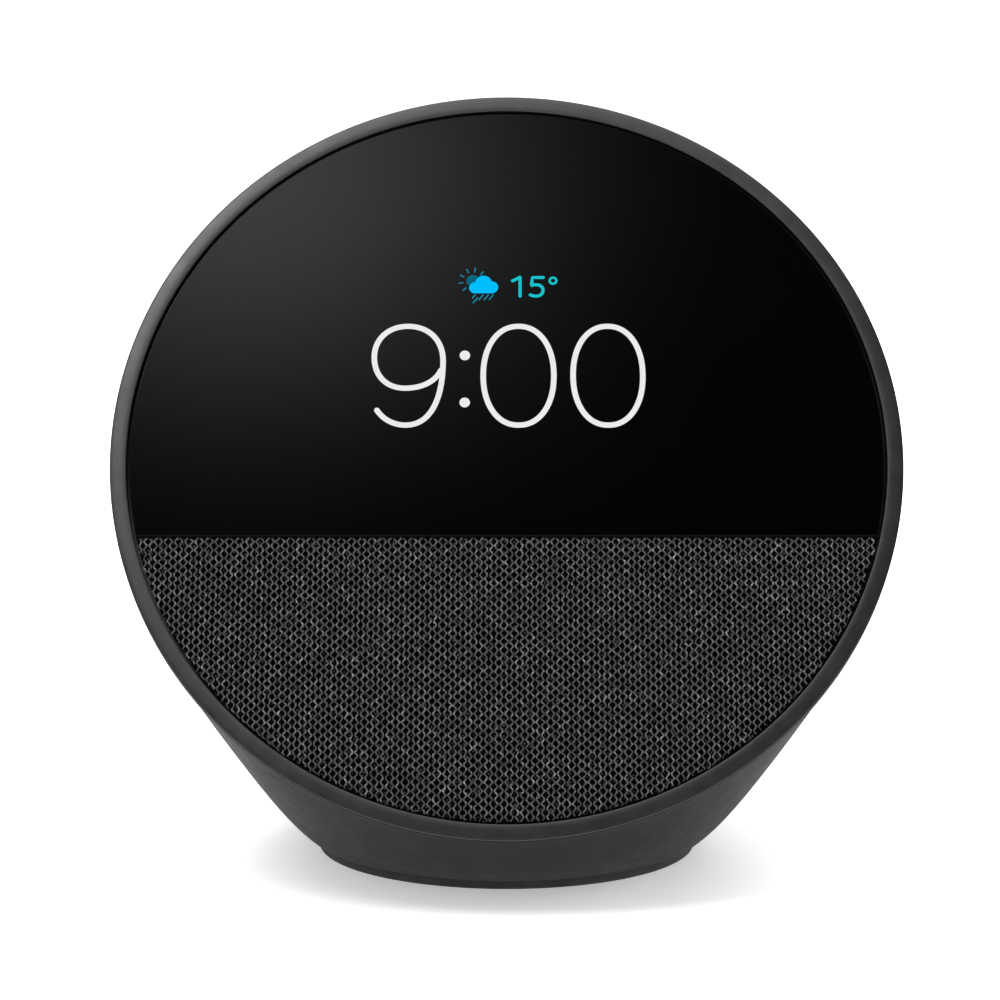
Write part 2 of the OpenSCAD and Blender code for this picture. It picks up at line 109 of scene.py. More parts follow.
def smooth(mesh, sharp):
    mesh.polygons.foreach_set("use_smooth", [True] * len(mesh.polygons))
    mesh.set_sharp_from_angle(angle=math.radians(sharp))


def on_face(x, up, depth):
    return FACE_CENTRE + x * ACROSS + up * FACE_UP + depth * FACE_OUT


def face_frame(x=0, up=0):
    return frame_at(on_face(x, up, 0), ACROSS, FACE_UP, FACE_OUT)


def frame_at(origin, x_way, y_way, z_way):
    rows = [[x_way[i], y_way[i], z_way[i], origin[i]] for i in range(3)]
    return Matrix(rows + [[0, 0, 0, 1]])


def grid_faces(rings, sides, closed_rings=False):
    """Quads between neighbouring rings of points, each ring closed."""
    faces = []
    for j in range(rings if closed_rings else rings - 1):
        k = (j + 1) % rings
        for i in range(sides):
            n = (i + 1) % sides
            faces.append((j * sides + i, j * sides + n, k * sides + n, k * sides + i))
    return faces


def turned(name, profile, where, body=CASING, sides=192, sharp=30):
    """A closed profile of (radius, height) pairs, turned about the local Z axis of where.

    The profile runs anticlockwise as drawn with radius to the right, so that faces look outwards.
    """
    points, rows = [], []
    for radius, height in profile:
        count = 1 if radius == 0 else sides
        rows.append(list(range(len(points), len(points) + count)) * (sides // count))
        for i in range(count):
            a = 2 * math.pi * i / sides
            points.append(where @ Vector((radius * math.cos(a), radius * math.sin(a), height)))
    faces = []
    for low, high in zip(rows, rows[1:] + rows[:1]):
        for i in range(sides):
            n = (i + 1) % sides
            corners = dict.fromkeys((low[i], low[n], high[n], high[i]))
            if len(corners) > 2:
                faces.append(tuple(corners))
    return add_mesh(name, points, faces, body, sharp)


def plate(name, outline, low, high, where, rounding=0, body=CASING, sharp=40):
    """A flat plate with that outline, between two heights, with a rounded front edge."""
    steps = 4 if rounding else 0
    levels = [(0, low)]
    for s in range(steps + 1):
        a = math.pi / 2 * s / max(steps, 1)
        levels.append((rounding * (1 - math.cos(a)), high - rounding * (1 - math.sin(a))))
    if rounding:
        levels.append((rounding + 0.05, high))
    count = len(outline)
    inward = inward_ways(outline)
    points = [
        where @ Vector((p[0] + inset * w[0], p[1] + inset * w[1], height))
        for inset, height in levels
        for p, w in zip(outline, inward)
    ]
    faces = grid_faces(len(levels), count)
    faces.append(tuple(reversed(range(count))))
    faces.append(tuple(range((len(levels) - 1) * count, len(levels) * count)))
    return add_mesh(name, points, faces, body, sharp)


def inward_ways(outline):
    """Directions that move each point of an anticlockwise outline evenly inwards."""
    ways = []
    count = len(outline)
    for i in range(count):
        before, here, after = outline[i - 1], outline[i], outline[(i + 1) % count]
        first = Vector((here[0] - before[0], here[1] - before[1])).normalized()
        second = Vector((after[0] - here[0], after[1] - here[1])).normalized()
        half = Vector((-first[1] - second[1], first[0] + second[0])).normalized()
        ways.append(half / max(half.dot(Vector((-first[1], first[0]))), 0.5))
    return ways


def combine(piece, tool, operation):
    """Adds, cuts or intersects a closed tool and removes it."""
    change = piece.modifiers.new("change", "BOOLEAN")
    change.operation = operation
    change.solver = "MANIFOLD"
    change.object = tool
    graph = bpy.context.evaluated_depsgraph_get()
    mesh = bpy.data.meshes.new_from_object(piece.evaluated_get(graph))
    piece.modifiers.clear()
    piece.data = mesh
    bpy.data.objects.remove(tool)


def rod(radius, low, high, where, sides=64, flare=0):
    """A cylinder to combine with, wider by flare over its last part."""
    profile = [(0, low), (radius, low), (radius, high), (0, high)]
    if flare:
        profile = [(0, low), (radius, low), (radius, flare), (radius + 3, flare + 3), (0, flare + 3)]
    return turned("rod", profile, where, body=None, sides=sides)


# ---------------------------------------------------------------- the body's surface


def cubic(p, q, r, s, t):
    return (1 - t) ** 3 * p + 3 * (1 - t) ** 2 * t * q + 3 * (1 - t) * t * t * r + t**3 * s


def around(turn, back, side, front):
    c = math.cos(turn)
    return side + (back - front) / 2 * c + ((back + front) / 2 - side) * c * c


def body_point(turn, t):
    """A point on the body: turn is about the face's axis from its top in radians, t runs rim to foot."""
    spoke = math.sin(turn) * ACROSS + math.cos(turn) * FACE_UP
    rim = FACE_CENTRE + RING_BACK * FACE_OUT + RIM_RADIUS * spoke
    lean_in = math.radians(around(turn, -12, 1, 1))
    rim_way = -math.cos(lean_in) * FACE_OUT - math.sin(lean_in) * spoke
    foot_spoke = Vector((math.sin(turn), math.cos(turn), 0))
    foot = FOOT_RADIUS * foot_spoke + Vector((0, 0, FOOT_HEIGHT))
    flare = math.radians(around(turn, 32, 34, 15))
    foot_way = math.cos(flare) * foot_spoke + Vector((0, 0, math.sin(flare)))
    rim_handle = rim + around(turn, 56, 19, 2) * rim_way
    foot_handle = foot + around(turn, 51, 16, 14) * foot_way
    return cubic(rim, rim_handle, foot_handle, foot, t)


def body_frame(degrees):
    """The frame that stands on the body at the keys' place, with +Z outwards and +Y to the back."""
    turn = math.radians(degrees)
    step = 0.001
    round_way = body_point(turn + step, KEY_PLACE) - body_point(turn - step, KEY_PLACE)
    down = body_point(turn, KEY_PLACE + step) - body_point(turn, KEY_PLACE - step)
    out = round_way.cross(down).normalized()
    back = (Vector((0, 1, 0)) - out[1] * out).normalized()
    return frame_at(body_point(turn, KEY_PLACE), back.cross(out), back, out)


def body_solid(share, sides=224, steps=72):
    points = []
    for j in range(steps + 1):
        for i in range(sides):
            p = body_point(-2 * math.pi * i / sides, j / steps)
            points.append(HOLLOW_CENTRE + share * (p - HOLLOW_CENTRE))
    faces = [tuple(reversed(f)) for f in grid_faces(steps + 1, sides)]
    faces.append(tuple(range(sides)))
    faces.append(tuple(reversed(range(steps * sides, (steps + 1) * sides))))
    return add_mesh("body_solid", points, faces, body=None)


def along_y(x, y, z):
    return frame_at(Vector((x, y, z)), ACROSS, Vector((0, 0, -1)), Vector((0, 1, 0)))


def make_shell():
    shell = body_solid(1)
    combine(shell, body_solid(HOLLOW_SHARE, 128, 40), "DIFFERENCE")
    bosses = []
    for turn in BOSS_TURNS:
        a = math.radians(turn)
        bosses.append(rod(3.6, -13, -3.8, face_frame(50 * math.sin(a), 50 * math.cos(a))))
    for turn in (-EAR_TURN, EAR_TURN):
        bosses.append(rod(2.2, -6.6, -1, body_frame(turn)))
    for turn in (-MIC_TURN, MIC_TURN):
        bosses.append(rod(2.3, -2.9, -1, body_frame(turn)))
    bosses.append(rod(PORT_RADIUS + 2, COLLAR_FRONT, 63, along_y(0, 0, PORT_HEIGHT)))
    for x in (-POST_X, POST_X):
        bosses.append(rod(2.3, JACK_FRONT, 63, along_y(x, 0, PORT_HEIGHT)))
    for boss in bosses:
        combine(boss, body_solid(0.99, 96, 32), "INTERSECT")
        combine(shell, boss, "UNION")
    combine(shell, rod(54.7, -6.2, 1, face_frame(), sides=192), "DIFFERENCE")
    for turn in BOSS_TURNS:
        a = math.radians(turn)
        pilot = rod(0.85, -11.5, 0, face_frame(50 * math.sin(a), 50 * math.cos(a)))
        combine(shell, pilot, "DIFFERENCE")
    for turn in (-KEY_TURN, 0, KEY_TURN):
        combine(shell, rod(KEY_HOLE_RADIUS, -5, 2, body_frame(turn), flare=-0.42), "DIFFERENCE")
        flange_room = rod(KEY_FLANGE_RADIUS + 0.2, -5, KEY_FLANGE_TOP + 0.02, body_frame(turn))
        combine(shell, flange_room, "DIFFERENCE")
    for turn in (-MIC_TURN, MIC_TURN):
        combine(shell, rod(0.5, -5, 2, body_frame(turn), flare=-0.2, sides=32), "DIFFERENCE")
    for turn in (-EAR_TURN, EAR_TURN):
        combine(shell, rod(0.85, -9, -2.2, body_frame(turn)), "DIFFERENCE")
    recess = rod(PORT_RADIUS, COLLAR_FRONT - 1, 70, along_y(0, 0, PORT_HEIGHT), sides=128)
    combine(shell, recess, "DIFFERENCE")
    for x in (-POST_X, POST_X):
        pilot = rod(0.85, JACK_FRONT - 1, JACK_FRONT + 8, along_y(x, 0, PORT_HEIGHT))
        combine(shell, pilot, "DIFFERENCE")
    for turn in BASE_SCREW_TURNS:
        a = math.radians(turn)
        spot = Vector((18 * math.cos(a), 18 * math.sin(a), 0))
        combine(shell, rod(1, 0, 6, Matrix.Translation(spot)), "DIFFERENCE")
        combine(shell, rod(1.9, 0, 2.3, Matrix.Translation(spot)), "DIFFERENCE")
    shell.name = "shell_body"
    smooth(shell.data, 32)
    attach(shell, CASING)
    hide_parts("rear_shell")
    return shell


def arc(centre_x, centre_y, radius, start, end, steps):
    return [
        (
            centre_x + radius * math.cos(math.radians(start + (end - start) * i / steps)),
            centre_y + radius * math.sin(math.radians(start + (end - start) * i / steps)),
        )
        for i in range(steps + 1)
    ]


def make_ring():
    profile = (
        [(RING_INNER, RING_BACK)]
        + arc(RING_INNER + 0.15, 0.15, 0.15, 180, 92, 4)
        + [(55.0, 0.27), (55.7, 0.2)]
        + arc(RING_OUTER - 0.15, -0.03, 0.15, 76, 0, 4)
        + [(RING_OUTER, -0.12), (RING_OUTER - 0.3, -0.16), (RING_OUTER - 0.3, -0.42), (RING_OUTER, -0.46)]
        + arc(RING_OUTER - 0.15, RING_BACK + 0.15, 0.15, 0, -90, 3)
        + [(54.6, RING_BACK), (54.6, SKIRT_BACK), (53.3, SKIRT_BACK), (53.3, RING_BACK)]
    )
    ring = turned("ring_trim", list(reversed(profile)), face_frame(), sides=288, sharp=50)
    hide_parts("front_ring")
    return ring


def segment_outline(radius, edge, above, steps=220):
    """The outline of the part of a disc above or below a level line, anticlockwise."""
    start = math.degrees(math.asin(edge / radius))
    if above:
        return arc(0, 0, radius, start, 180 - start, steps)
    return arc(0, 0, radius, 180 - start, 360 + start, steps)


def make_glass():
    outline = segment_outline(PANE_RADIUS, SPLIT_HEIGHT, True)
    glass = plate("lens_glass", outline, GLASS_BACK, PANE_FRONT, face_frame(), rounding=0.15)
    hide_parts("cover_glass")
    return glass


# ---------------------------------------------------------------- cloth

NET_PITCH = 1.436
NET_RISE = 1.235
THREAD = 0.132
NET_STEPS = 6
NET_SIDES = 4


def net_depth(x, up, edge, radius):
    """How far the net rolls down near its edges."""
    room = min(edge - up, radius - math.hypot(x, up))
    return -0.3 * max(0, 1 - room / 0.7) ** 2


def net_strands(edge, radius):
    """Runs of points of each upright zigzag thread that lie inside the cloth's outline."""
    spacing = NET_PITCH / 2
    swing = NET_PITCH / 4 - 0.172
    wave = (1, 0.52, -0.52, -1, -0.52, 0.52)
    # a thread is wider at the two steps where it meets its neighbours
    spread = (1.45, 1, 1, 1.45, 1, 1)
    columns = int(radius / spacing) + 1
    rows = int((radius + edge) / NET_RISE * NET_STEPS) + 2
    for k in range(-columns, columns + 1):
        way = 1 if k % 2 else -1
        run = []
        for j in range(rows):
            phase = j % NET_STEPS
            x = k * spacing + way * swing * wave[phase] + random.gauss(0, 0.028)
            up = edge - j * NET_RISE / NET_STEPS + random.gauss(0, 0.022)
            over = 0.055 * way * math.cos(math.pi * j / NET_STEPS)
            if math.hypot(x, up) < radius:
                depth = over + net_depth(x, up, edge, radius)
                run.append((x, min(up, edge), depth, spread[phase]))
            elif len(run) > 2:
                break
        if len(run) > 2:
            yield run


def make_net(edge, radius):
    points, faces = [], []
    for run in net_strands(edge, radius):
        line, spread = np.array(run)[:, :3], np.array(run)[:, 3]
        way = np.gradient(line, axis=0)
        way /= np.linalg.norm(way, axis=1)[:, None]
        side = np.cross(way, (0, 0, 1.0))
        side /= np.linalg.norm(side, axis=1)[:, None]
        over = np.cross(side, way)
        thick = THREAD * (1 + 0.16 * noise_maker.standard_normal(len(line)).clip(-1.5, 1.5))
        first = len(points)
        for p, s, o, w, wide in zip(line, side, over, thick, spread):
            for i in range(NET_SIDES):
                a = 2 * math.pi * (i + 0.5) / NET_SIDES
                q = (p + w * (math.cos(a) * wide * s + math.sin(a) * 0.85 * o)).tolist()
                points.append(on_face(q[0], q[1], PANE_FRONT - 0.13 + q[2]))
        ring_faces = grid_faces(len(line), NET_SIDES)
        faces += [tuple(first + c for c in reversed(f)) for f in ring_faces]
        last = first + (len(line) - 1) * NET_SIDES
        faces.append(tuple(range(first, first + NET_SIDES)))
        faces.append(tuple(reversed(range(last, last + NET_SIDES))))
    return add_mesh("speaker_net", points, faces, sharp=180)


def make_cloth():
    edge = SPLIT_HEIGHT - SPLIT_GAP
    radius = PANE_RADIUS
    net = make_net(edge - 0.06, radius + 0.04)
    outline = segment_outline(radius, edge, False)
    backing = plate("speaker_cloth", outline, -0.4, -0.28, face_frame(), sharp=30)
    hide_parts("fabric_cover")
    return net, backing


# ---------------------------------------------------------------- what the display shows

LIT_LOW = PANE_FRONT - 0.02
LIT_HIGH = PANE_FRONT + 0.015


def curve_points(knots, steps=14):
    """Points along cubic curves: knots are point, handle, handle, point, handle, handle, point..."""
    path = [knots[0]]
    for i in range(0, len(knots) - 1, 3):
        p, q, r, s = (Vector(k) for k in knots[i : i + 4])
        path += [tuple(cubic(p, q, r, s, n / steps)) for n in range(1, steps + 1)]
    return path


def stroke_outline(path, width):
    """The outline of a line with round ends, anticlockwise."""
    ways = np.gradient(np.array(path, float), axis=0)
    left, right = [], []
    for (x, up), way in zip(path, ways):
        across = (np.array((-way[1], way[0])) / np.hypot(*way) * width / 2).tolist()
        left.append((x + across[0], up + across[1]))
        right.append((x - across[0], up - across[1]))
    start = math.degrees(math.atan2(-ways[0][1], -ways[0][0]))
    finish = math.degrees(math.atan2(ways[-1][1], ways[-1][0]))
    end_cap = arc(*path[-1], width / 2, finish - 90, finish + 90, 8)[1:-1]
    start_cap = arc(*path[0], width / 2, start - 90, start + 90, 8)[1:-1]
    return right + end_cap + list(reversed(left)) + start_cap


def lit_shapes(name, strokes=(), outlines=(), loops=()):
    """Thin lit shapes on the glass. A stroke is a path and a width, and a loop is an outline and a width."""
    points, faces = [], []

    def add(rings, cap):
        first, count = len(points), len(rings[0])
        for ring, height in rings_at_heights(rings, cap):
            points.extend(on_face(p[0], p[1], height) for p in ring)
        shape = grid_faces(2 if cap else 4, count, closed_rings=not cap)
        faces.extend(tuple(first + c for c in f) for f in shape)
        if cap:
            faces.append(tuple(first + c for c in reversed(range(count))))
            faces.append(tuple(first + count + c for c in range(count)))

    for path, width in strokes:
        quads = stroke_strip(path, width)
        for quad in quads:
            add([quad], True)
        for spot in (path[0], path[-1]):
            add([arc(*spot, width / 2, 0, 345, 23)], True)
    for outline in outlines:
        add([outline], True)
    for outline, width in loops:
        inward = inward_ways(outline)
        inner = [(p[0] + width * w[0], p[1] + width * w[1]) for p, w in zip(outline, inward)]
        add([outline, inner], False)
    return add_mesh(name, points, faces, sharp=30)


def rings_at_heights(rings, cap):
    if cap:
        return [(rings[0], LIT_LOW), (rings[0], LIT_HIGH)]
    outer, inner = rings
    return [(outer, LIT_LOW), (outer, LIT_HIGH), (inner, LIT_HIGH), (inner, LIT_LOW)]


def stroke_strip(path, width):
    """Four-cornered pieces along a path, each meeting the next on the same corners."""
    ways = np.gradient(np.array(path, float), axis=0)
    sides = []
    for (x, up), way in zip(path, ways):
        across = (np.array((-way[1], way[0])) / np.hypot(*way) * width / 2).tolist()
        sides.append(((x + across[0], up + across[1]), (x - across[0], up - across[1])))
    return [(b[0], a[0], a[1], b[1]) for a, b in zip(sides, sides[1:])]


def oval(x_low, x_high, up_low, up_high, power=2.15, count=96):
    """An anticlockwise rounded outline that fills a box."""
    outline = []
    for i in range(count):
        a = 2 * math.pi * i / count
        c, s = math.cos(a), math.sin(a)
        x = math.copysign(abs(c) ** (2 / power), c) * (x_high - x_low) / 2
        up = math.copysign(abs(s) ** (2 / power), s) * (up_high - up_low) / 2
        outline.append(((x_low + x_high) / 2 + x, (up_low + up_high) / 2 + up))
    return outline


DIGIT_LOW = 4.28
DIGIT_HIGH = 20.34
DIGIT_STROKE = 0.8


def make_clock():
    nine = curve_points(
        [
            (-18.55, 6.95),
            (-17.6, 5.5),
            (-16.1, 4.68),
            (-14.4, 4.68),
            (-10.9, 4.68),
            (-9.13, 8.6),
            (-9.13, 14.5),
            (-9.13, 17.9),
            (-11.3, 19.94),
            (-14.2, 19.94),
            (-17.1, 19.94),
            (-19.02, 17.9),
            (-19.02, 15.2),
            (-19.02, 12.3),
            (-17.3, 10.35),
            (-14.55, 10.35),
            (-12.1, 10.35),
            (-10.2, 11.4),
            (-9.45, 13.1),
        ]
    )
    colon = [oval(-6.75, -5.25, up - 0.75, up + 0.75, 2, 32) for up in (15.41, 8.15)]
    noughts = [
        (oval(low, high, DIGIT_LOW, DIGIT_HIGH), DIGIT_STROKE)
        for low, high in ((-3.76, 7.17), (9.13, 19.93))
    ]
    return lit_shapes("clock_digits", [(nine, DIGIT_STROKE)], colon, noughts)


CLOUD_LOBES = (((-4.55, 25.98), 0.88), ((-3.35, 26.62), 1.24), ((-2.15, 26.05), 0.92))


def cloud_outline():
    """Three lobes over a flat base, seen as one outline from a point inside."""
    centre, base, count = Vector((-3.35, 25.8)), 25.11, 80
    outline = []
    for i in range(count):
        a = 2 * math.pi * i / count
        way = Vector((math.cos(a), math.sin(a)))
        reach = 0
        for spot, radius in CLOUD_LOBES:
            gap = Vector(spot) - centre
            along = gap.dot(way)
            inside = radius**2 - gap.length_squared + along**2
            if inside > 0:
                reach = max(reach, along + math.sqrt(inside))
        if way[1] < 0:
            reach = min(max(reach, 1.6), (base - centre[1]) / way[1])
        outline.append(tuple(centre + reach * way))
    return outline


def sun_outline(centre, radius, gap):
    """A disc that stops a little short of the cloud."""
    outline = []
    for a in angles(0, 354, 59):
        way = Vector((math.cos(a), math.sin(a)))
        reach = radius
        for spot, lobe in CLOUD_LOBES:
            off = Vector(spot) - centre
            along = off.dot(way)
            inside = (lobe + gap) ** 2 - off.length_squared + along**2
            if inside > 0 and along > 0:
                reach = min(reach, along - math.sqrt(inside))
        outline.append(tuple(centre + reach * way))
    return outline


def make_weather():
    cloud = lit_shapes("weather_cloud", outlines=[cloud_outline()])
    sun = Vector((-4.87, 27.02))
    disc = sun_outline(sun, 0.95, 0.08)
    rays = []
    for a in angles(44, 226, 5):
        way = Vector((math.cos(a), math.sin(a)))
        rays.append(([tuple(sun + 1.5 * way), tuple(sun + 2.05 * way)], 0.2))
    rain = []
    for x, up, long in ((-4.9, 24.85, 0.6), (-4.55, 24.4, 1), (-3.75, 24.85, 1), (-3.0, 24.85, 0.95)):
        way = Vector((-0.62, -0.78)) * long
        rain.append(([(x + 0.35, up), (x + 0.35 + way[0], up + way[1])], 0.2))
    rain.append(([(-1.95, 24.85), (-2.5, 24.15)], 0.2))
    body = lit_shapes("weather_sun", outlines=[disc])
    lines = lit_shapes("weather_lines", strokes=rays + rain)
    five = [(5.3, 27.58), (4.5, 27.58), (3.72, 27.58), (3.66, 27.0), (3.6, 26.4)] + curve_points(
        [(3.62, 26.3), (4.1, 26.6), (5.26, 26.5), (5.26, 25.6), (5.26, 24.55), (4.1, 24.5), (3.42, 24.86)], 8
    )
    one = [(0.85, 27.05), (1.4, 27.33), (1.92, 27.62)]
    bar = [(1.94, 27.6), (1.94, 26.2), (1.94, 24.66)]
    degree = (oval(6.06, 7.36, 26.43, 27.73, 2, 40), 0.34)
    strokes = [(path, 0.46) for path in (one, bar, five)]
    temperature = lit_shapes("temperature", strokes=strokes, loops=[degree])
    return cloud, body, lines, temperature


def angles(first, last, steps):
    return [math.radians(first + (last - first) * i / steps) for i in range(steps + 1)]


# ---------------------------------------------------------------- keys


def make_keys():
    """Caps with a shallow dish and rounded edges, each with its raised sign."""
    half = 1.25
    bar = [(-half, 0), (0, 0), (half, 0)]
    post = [(0, -half), (0, 0), (0, half)]
    slash = [(-1.35, 1.45), (0, 0), (1.35, -1.45)]
    capsule = [(0, -0.1), (0, 0.4), (0, 0.95)]
    cradle = arc(0, -0.05, 1.0, 190, 350, 12)
    stand = [(0, -1.05), (0, -1.3), (0, -1.6)]
    signs = {
        "volume_down": [(bar, 0.36)],
        "mute": [(capsule, 0.85), (cradle, 0.22), (stand, 0.22), (slash, 0.24)],
        "volume_up": [(bar, 0.36), (post, 0.36)],
    }
    caps, marks = [], []
    for name, turn in (("volume_down", -KEY_TURN), ("mute", 0), ("volume_up", KEY_TURN)):
        where = body_frame(turn)
        profile = (
            [(0, KEY_PROUD - 0.14), (1.2, KEY_PROUD - 0.13), (2.3, KEY_PROUD - 0.08), (3.2, KEY_PROUD - 0.01)]
            + arc(KEY_RADIUS - 0.4, KEY_PROUD - 0.4, 0.4, 90, 0, 6)
            + [(KEY_RADIUS, KEY_FLANGE_TOP), (KEY_FLANGE_RADIUS, KEY_FLANGE_TOP)]
            + [(KEY_FLANGE_RADIUS, KEY_FLANGE_TOP - 0.8), (1.4, KEY_FLANGE_TOP - 0.8), (1.4, -4.7), (0, -4.7)]
        )
        cap = turned(name + "_cap", list(reversed(profile)), where, name + "_key", sides=96)
        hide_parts(name + "_button")
        caps.append(cap)
        for n, (path, width) in enumerate(signs[name]):
            outline = stroke_outline(path, width)
            mark = plate(f"{name}_sign_{n}", outline, 0.1, KEY_PROUD - 0.02, where, body=name + "_key")
            marks.append(mark)
    return caps, marks


# ---------------------------------------------------------------- materials


class Nodes:
    """A material's node tree with short calls for what the materials here share."""

    def __init__(self, name, colour, roughness, metallic=0.0, specular=0.5):
        self.material = bpy.data.materials.new(name)
        self.material.use_nodes = True
        self.material.diffuse_color = (*colour, 1)
        self.tree = self.material.node_tree
        self.shader = self.tree.nodes["Principled BSDF"]
        self.colour = colour
        self.set("Base Color", (*colour, 1))
        self.set("Roughness", roughness)
        self.set("Metallic", metallic)
        self.set("Specular IOR Level", specular)
        self.place = self.tree.nodes.new("ShaderNodeTexCoord").outputs["Object"]

    def set(self, socket, value):
        self.shader.inputs[socket].default_value = value

    def link(self, output, node, socket):
        self.tree.links.new(output, node.inputs[socket])

    def stretched(self, scale):
        node = self.tree.nodes.new("ShaderNodeMapping")
        node.inputs["Scale"].default_value = scale
        self.link(self.place, node, "Vector")
        return node.outputs["Vector"]

    def noise(self, size_mm, detail=3.0, stretch=None):
        """Noise whose features are about size_mm wide."""
        node = self.tree.nodes.new("ShaderNodeTexNoise")
        node.inputs["Scale"].default_value = 1 / (size_mm * MM)
        node.inputs["Detail"].default_value = detail
        self.link(self.stretched(stretch) if stretch else self.place, node, "Vector")
        return node.outputs["Fac"]

    def cells(self, size_mm, stretch=None):
        node = self.tree.nodes.new("ShaderNodeTexVoronoi")
        node.inputs["Scale"].default_value = 1 / (size_mm * MM)
        self.link(self.stretched(stretch) if stretch else self.place, node, "Vector")
        return node.outputs["Distance"]

    def bands(self, size_mm, direction="X", rings=False):
        node = self.tree.nodes.new("ShaderNodeTexWave")
        node.wave_type = "RINGS" if rings else "BANDS"
        setattr(node, "rings_direction" if rings else "bands_direction", direction)
        node.inputs["Scale"].default_value = 0.314 / (size_mm * MM)
        self.link(self.place, node, "Vector")
        return node.outputs["Fac"]

    def spread(self, value, low, high, to_low, to_high):
        node = self.tree.nodes.new("ShaderNodeMapRange")
        for socket, number in zip(("From Min", "From Max", "To Min", "To Max"), (low, high, to_low, to_high)):
            node.inputs[socket].default_value = number
        self.link(value, node, "Value")
        return node.outputs["Result"]

    def tint(self, value, dark, light, low=0.35, high=0.65):
        """Varies the colour between two colours as value goes from low to high."""
        node = self.tree.nodes.new("ShaderNodeValToRGB")
        node.color_ramp.elements[0].position = low
        node.color_ramp.elements[0].color = (*dark, 1)
        node.color_ramp.elements[1].position = high
        node.color_ramp.elements[1].color = (*light, 1)
        self.link(value, node, "Fac")
        self.link(node.outputs["Color"], self.shader, "Base Color")

    def vary_roughness(self, value, low, high):
        self.link(self.spread(value, 0.3, 0.7, low, high), self.shader, "Roughness")

    def relief(self, value, depth_mm, strength=0.6):
        node = self.tree.nodes.new("ShaderNodeBump")
        node.inputs["Strength"].default_value = strength
        node.inputs["Distance"].default_value = depth_mm * MM
        self.link(value, node, "Height")
        self.link(node.outputs["Normal"], self.shader, "Normal")

    def shades(self, value, spread=0.25, low=0.35, high=0.65):
        dark = [c * (1 - spread) for c in self.colour]
        light = [c * (1 + spread) for c in self.colour]
        self.tint(value, dark, light, low, high)


def moulded(name, colour, roughness, grain=0.35, depth=0.02, specular=0.5):
    """Moulded plastic: a fine spark-eroded texture, with faint drift in tone and gloss."""
    m = Nodes(name, colour, roughness, specular=specular)
    m.shades(m.noise(6, 4), 0.1)
    m.vary_roughness(m.noise(2.5), roughness - 0.05, roughness + 0.05)
    m.relief(m.noise(grain, 2), depth)
    return m.material


def metal(name, colour, roughness, stretch=(1, 12, 12), size=2.0):
    """Sheet or turned metal with fine drawn lines and slight staining."""
    m = Nodes(name, colour, roughness, metallic=1.0)
    m.shades(m.noise(9, 4), 0.12)
    lines = m.noise(size, 4, stretch)
    m.vary_roughness(lines, roughness - 0.1, roughness + 0.12)
    m.relief(lines, 0.02, 0.4)
    return m.material


def rubber(name, colour, roughness=0.75):
    m = Nodes(name, colour, roughness, specular=0.35)
    m.shades(m.noise(3, 5), 0.2)
    m.vary_roughness(m.noise(1.2), roughness - 0.08, roughness + 0.1)
    m.relief(m.noise(0.25, 3), 0.03)
    return m.material


def foam(name, colour):
    m = Nodes(name, colour, 0.9, specular=0.2)
    pore_shade = m.cells(0.35)
    # Pore centres are darkened: painted shade in the hollows that the relief below sinks.
    m.tint(pore_shade, [c * 0.3 for c in colour], colour, 0.1, 0.5)
    m.relief(pore_shade, 0.12, 0.9)
    return m.material


def circuit_board(name, mask, track):
    """Solder mask over rows of copper tracks, with a scatter of through-holes."""
    m = Nodes(name, mask, 0.35)
    tracks = m.tree.nodes.new("ShaderNodeTexBrick")
    tracks.offset = 0.37
    tracks.inputs["Scale"].default_value = 260
    tracks.inputs["Mortar Size"].default_value = 0.045
    tracks.inputs["Mortar Smooth"].default_value = 0.1
    tracks.inputs["Brick Width"].default_value = 1.7
    tracks.inputs["Row Height"].default_value = 0.36
    tracks.inputs["Color1"].default_value = (*mask, 1)
    tracks.inputs["Color2"].default_value = (*[c * 0.8 for c in mask], 1)
    tracks.inputs["Mortar"].default_value = (*track, 1)
    m.link(m.place, tracks, "Vector")
    holes = m.spread(m.cells(2.4), 0.1, 0.13, 1, 0)
    blend = m.tree.nodes.new("ShaderNodeMix")
    blend.data_type = "RGBA"
    m.link(holes, blend, "Factor")
    m.tree.links.new(tracks.outputs["Color"], blend.inputs[6])
    blend.inputs[7].default_value = (0.62, 0.5, 0.2, 1)
    m.tree.links.new(blend.outputs[2], m.shader.inputs["Base Color"])
    m.relief(tracks.outputs["Fac"], 0.04, 0.5)
    return m.material


def banded(name, colour, pitch, direction, roughness=0.4, metallic=0.0, rings=False):
    """Fine parallel lines, darker in their grooves: on windings the darkening is painted shade between the
    turns, on a flat cable's tracks it is their own tone.
    """
    m = Nodes(name, colour, roughness, metallic=metallic)
    lines = m.bands(pitch, direction, rings)
    # Darker in the grooves: painted shade between a coil's turns; the real tone of a flat cable's tracks and
    # a cloth's weave.
    m.tint(lines, [c * 0.5 for c in colour], colour, 0.2, 0.6)
    m.relief(lines, 0.06, 0.7)
    return m.material


def glossy(name, colour, roughness):
    """Polished glass or plastic with faint unevenness in its gloss."""
    m = Nodes(name, colour, roughness)
    m.shades(m.noise(20, 2), 0.15)
    m.vary_roughness(m.noise(14, 3), max(roughness - 0.008, 0.0), roughness + 0.012)
    return m.material


def lit(name, colour, strength):
    m = Nodes(name, (0, 0, 0), 0.4, specular=0.0)
    m.set("Emission Color", (*colour, 1))
    m.set("Emission Strength", strength)
    return m.material


